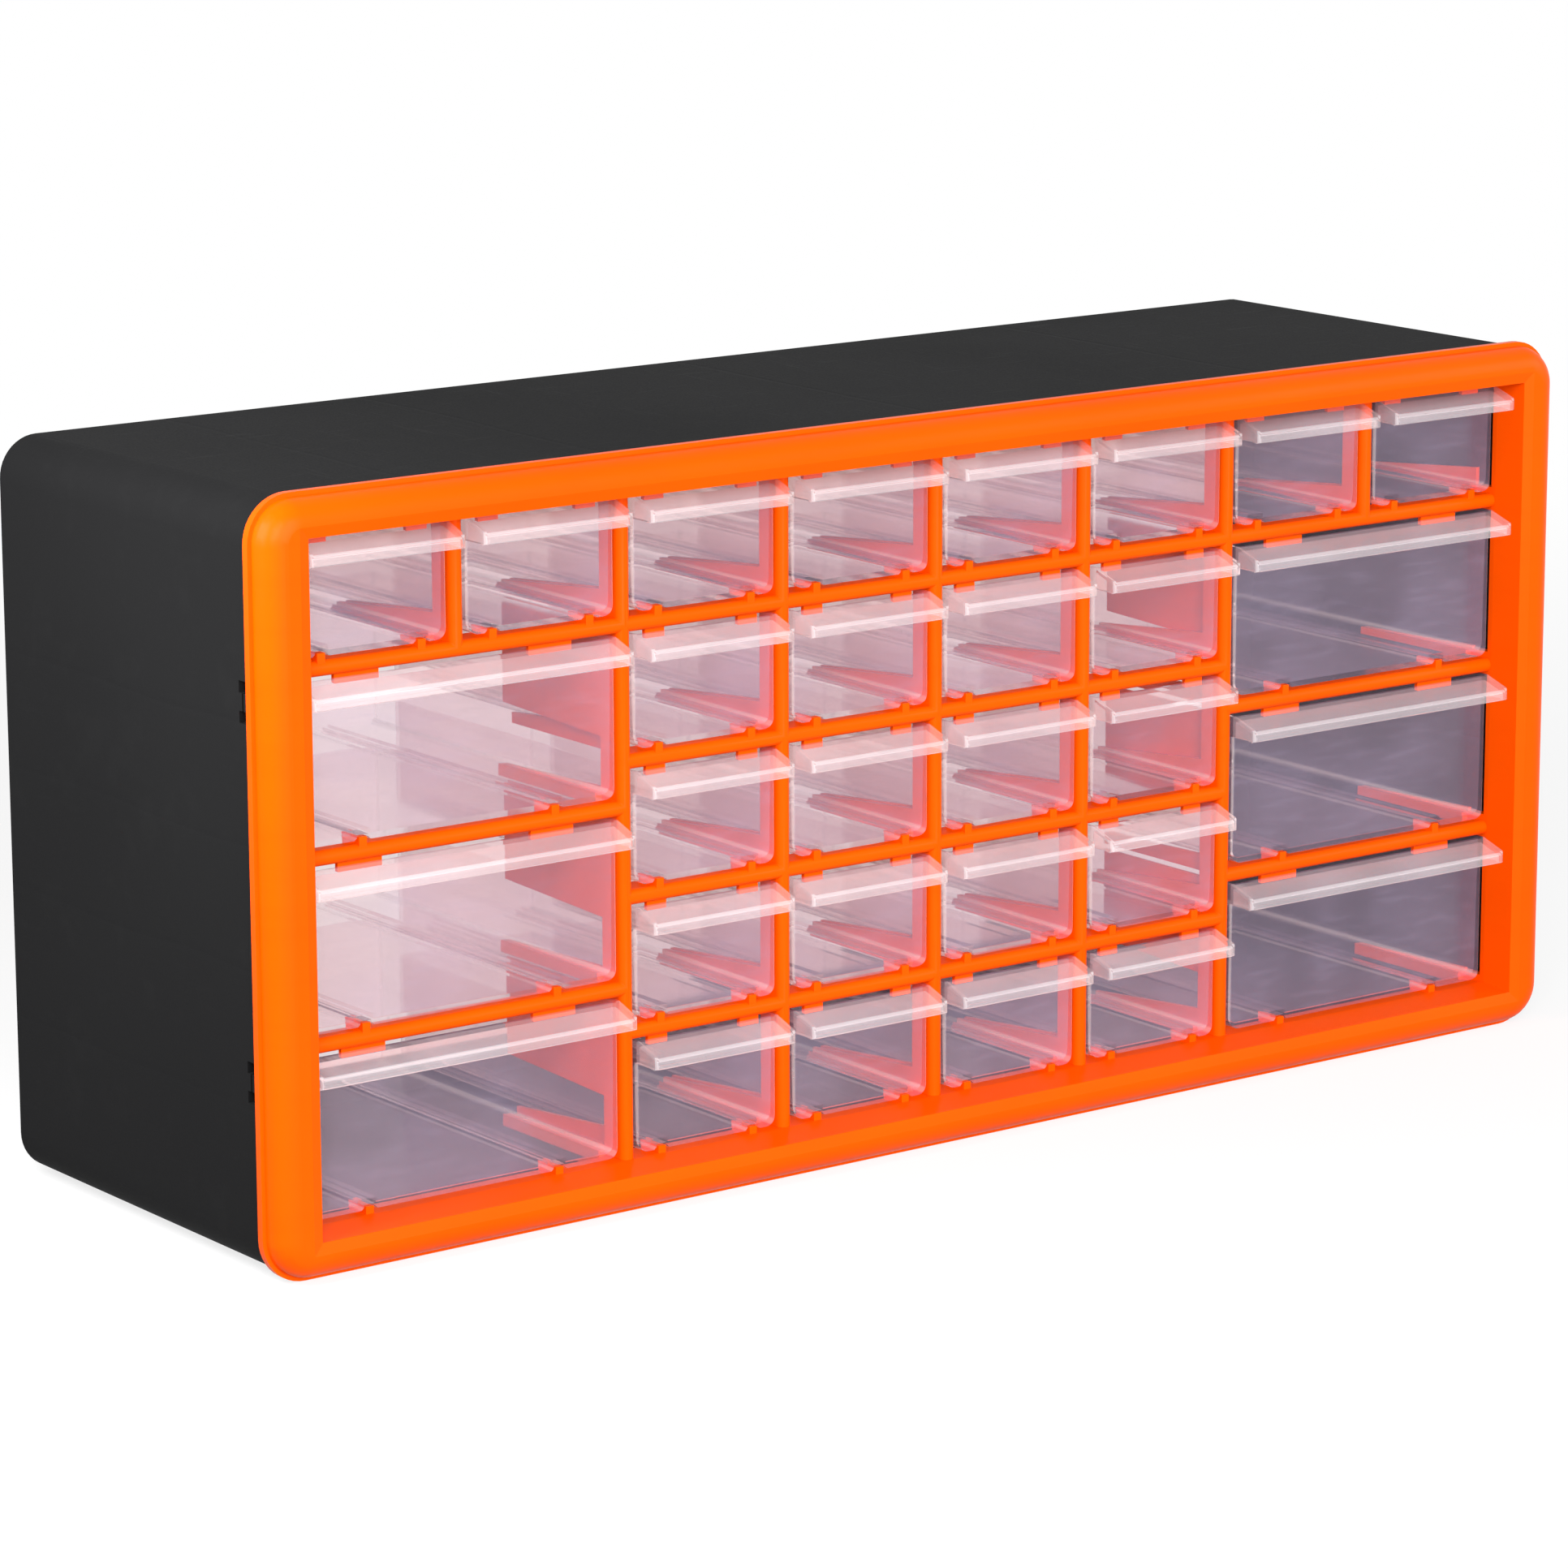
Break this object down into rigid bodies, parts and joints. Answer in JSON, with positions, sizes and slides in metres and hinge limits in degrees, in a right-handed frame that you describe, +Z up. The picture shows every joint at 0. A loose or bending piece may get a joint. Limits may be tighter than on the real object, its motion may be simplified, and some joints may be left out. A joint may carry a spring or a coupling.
{
  "type": "parts bin cabinet",
  "caption": "Low, wide parts cabinet: dark casing, orange front frame with a grid of cells, and clear sliding drawers with hooded pulls; it stands or hangs on two keyholes.",
  "frame": {"origin": "centre of the overall box at floor height, between the bottom of the front frame and the rear pads", "axes": "+X to the right seen from the front, +Y from the drawer fronts to the back, +Z up"},
  "size_m": [0.495, 0.148, 0.228],
  "materials": {
    "casing_plastic": "charcoal black, fine matte texture",
    "frame_plastic": "orange, satin gloss",
    "drawer_plastic": "clear, slightly frosted, faint pink grey cast"
  },
  "bodies": {
    "cabinet": {"casing": "casing_plastic", "front_frame": "frame_plastic", "left_grid": "frame_plastic", "middle_left_grid": "frame_plastic", "middle_right_grid": "frame_plastic", "right_grid": "frame_plastic"},
    "small_drawer_e1": {"small_drawer_e1": "drawer_plastic"},
    "small_drawer_e2": {"small_drawer_e2": "drawer_plastic"},
    "small_drawer_e3": {"small_drawer_e3": "drawer_plastic"},
    "small_drawer_e4": {"small_drawer_e4": "drawer_plastic"},
    "small_drawer_d1": {"small_drawer_d1": "drawer_plastic"},
    "small_drawer_d2": {"small_drawer_d2": "drawer_plastic"},
    "small_drawer_d3": {"small_drawer_d3": "drawer_plastic"},
    "small_drawer_d4": {"small_drawer_d4": "drawer_plastic"},
    "small_drawer_c1": {"small_drawer_c1": "drawer_plastic"},
    "small_drawer_c2": {"small_drawer_c2": "drawer_plastic"},
    "small_drawer_c3": {"small_drawer_c3": "drawer_plastic"},
    "small_drawer_c4": {"small_drawer_c4": "drawer_plastic"},
    "small_drawer_b1": {"small_drawer_b1": "drawer_plastic"},
    "small_drawer_b2": {"small_drawer_b2": "drawer_plastic"},
    "small_drawer_b3": {"small_drawer_b3": "drawer_plastic"},
    "small_drawer_b4": {"small_drawer_b4": "drawer_plastic"},
    "small_drawer_a1": {"small_drawer_a1": "drawer_plastic"},
    "small_drawer_a2": {"small_drawer_a2": "drawer_plastic"},
    "small_drawer_a3": {"small_drawer_a3": "drawer_plastic"},
    "small_drawer_a4": {"small_drawer_a4": "drawer_plastic"},
    "small_drawer_a5": {"small_drawer_a5": "drawer_plastic"},
    "small_drawer_a6": {"small_drawer_a6": "drawer_plastic"},
    "small_drawer_a7": {"small_drawer_a7": "drawer_plastic"},
    "small_drawer_a8": {"small_drawer_a8": "drawer_plastic"},
    "large_drawer_left_3": {"large_drawer_left_3": "drawer_plastic"},
    "large_drawer_left_2": {"large_drawer_left_2": "drawer_plastic"},
    "large_drawer_left_1": {"large_drawer_left_1": "drawer_plastic"},
    "large_drawer_right_3": {"large_drawer_right_3": "drawer_plastic"},
    "large_drawer_right_2": {"large_drawer_right_2": "drawer_plastic"},
    "large_drawer_right_1": {"large_drawer_right_1": "drawer_plastic"}
  },
  "joints": [
    {"name": "small_drawer_e1_slide", "type": "slide", "parent": "cabinet", "child": "small_drawer_e1", "axis": [0, -1, 0], "range_m": [0, 0.124]},
    {"name": "small_drawer_e2_slide", "type": "slide", "parent": "cabinet", "child": "small_drawer_e2", "axis": [0, -1, 0], "range_m": [0, 0.124]},
    {"name": "small_drawer_e3_slide", "type": "slide", "parent": "cabinet", "child": "small_drawer_e3", "axis": [0, -1, 0], "range_m": [0, 0.124]},
    {"name": "small_drawer_e4_slide", "type": "slide", "parent": "cabinet", "child": "small_drawer_e4", "axis": [0, -1, 0], "range_m": [0, 0.124]},
    {"name": "small_drawer_d1_slide", "type": "slide", "parent": "cabinet", "child": "small_drawer_d1", "axis": [0, -1, 0], "range_m": [0, 0.124]},
    {"name": "small_drawer_d2_slide", "type": "slide", "parent": "cabinet", "child": "small_drawer_d2", "axis": [0, -1, 0], "range_m": [0, 0.124]},
    {"name": "small_drawer_d3_slide", "type": "slide", "parent": "cabinet", "child": "small_drawer_d3", "axis": [0, -1, 0], "range_m": [0, 0.124]},
    {"name": "small_drawer_d4_slide", "type": "slide", "parent": "cabinet", "child": "small_drawer_d4", "axis": [0, -1, 0], "range_m": [0, 0.124]},
    {"name": "small_drawer_c1_slide", "type": "slide", "parent": "cabinet", "child": "small_drawer_c1", "axis": [0, -1, 0], "range_m": [0, 0.124]},
    {"name": "small_drawer_c2_slide", "type": "slide", "parent": "cabinet", "child": "small_drawer_c2", "axis": [0, -1, 0], "range_m": [0, 0.124]},
    {"name": "small_drawer_c3_slide", "type": "slide", "parent": "cabinet", "child": "small_drawer_c3", "axis": [0, -1, 0], "range_m": [0, 0.124]},
    {"name": "small_drawer_c4_slide", "type": "slide", "parent": "cabinet", "child": "small_drawer_c4", "axis": [0, -1, 0], "range_m": [0, 0.124]},
    {"name": "small_drawer_b1_slide", "type": "slide", "parent": "cabinet", "child": "small_drawer_b1", "axis": [0, -1, 0], "range_m": [0, 0.124]},
    {"name": "small_drawer_b2_slide", "type": "slide", "parent": "cabinet", "child": "small_drawer_b2", "axis": [0, -1, 0], "range_m": [0, 0.124]},
    {"name": "small_drawer_b3_slide", "type": "slide", "parent": "cabinet", "child": "small_drawer_b3", "axis": [0, -1, 0], "range_m": [0, 0.124]},
    {"name": "small_drawer_b4_slide", "type": "slide", "parent": "cabinet", "child": "small_drawer_b4", "axis": [0, -1, 0], "range_m": [0, 0.124]},
    {"name": "small_drawer_a1_slide", "type": "slide", "parent": "cabinet", "child": "small_drawer_a1", "axis": [0, -1, 0], "range_m": [0, 0.124]},
    {"name": "small_drawer_a2_slide", "type": "slide", "parent": "cabinet", "child": "small_drawer_a2", "axis": [0, -1, 0], "range_m": [0, 0.124]},
    {"name": "small_drawer_a3_slide", "type": "slide", "parent": "cabinet", "child": "small_drawer_a3", "axis": [0, -1, 0], "range_m": [0, 0.124]},
    {"name": "small_drawer_a4_slide", "type": "slide", "parent": "cabinet", "child": "small_drawer_a4", "axis": [0, -1, 0], "range_m": [0, 0.124]},
    {"name": "small_drawer_a5_slide", "type": "slide", "parent": "cabinet", "child": "small_drawer_a5", "axis": [0, -1, 0], "range_m": [0, 0.124]},
    {"name": "small_drawer_a6_slide", "type": "slide", "parent": "cabinet", "child": "small_drawer_a6", "axis": [0, -1, 0], "range_m": [0, 0.124]},
    {"name": "small_drawer_a7_slide", "type": "slide", "parent": "cabinet", "child": "small_drawer_a7", "axis": [0, -1, 0], "range_m": [0, 0.124]},
    {"name": "small_drawer_a8_slide", "type": "slide", "parent": "cabinet", "child": "small_drawer_a8", "axis": [0, -1, 0], "range_m": [0, 0.124]},
    {"name": "large_drawer_left_3_slide", "type": "slide", "parent": "cabinet", "child": "large_drawer_left_3", "axis": [0, -1, 0], "range_m": [0, 0.124]},
    {"name": "large_drawer_left_2_slide", "type": "slide", "parent": "cabinet", "child": "large_drawer_left_2", "axis": [0, -1, 0], "range_m": [0, 0.124]},
    {"name": "large_drawer_left_1_slide", "type": "slide", "parent": "cabinet", "child": "large_drawer_left_1", "axis": [0, -1, 0], "range_m": [0, 0.124]},
    {"name": "large_drawer_right_3_slide", "type": "slide", "parent": "cabinet", "child": "large_drawer_right_3", "axis": [0, -1, 0], "range_m": [0, 0.124]},
    {"name": "large_drawer_right_2_slide", "type": "slide", "parent": "cabinet", "child": "large_drawer_right_2", "axis": [0, -1, 0], "range_m": [0, 0.124]},
    {"name": "large_drawer_right_1_slide", "type": "slide", "parent": "cabinet", "child": "large_drawer_right_1", "axis": [0, -1, 0], "range_m": [0, 0.124]}
  ]
}
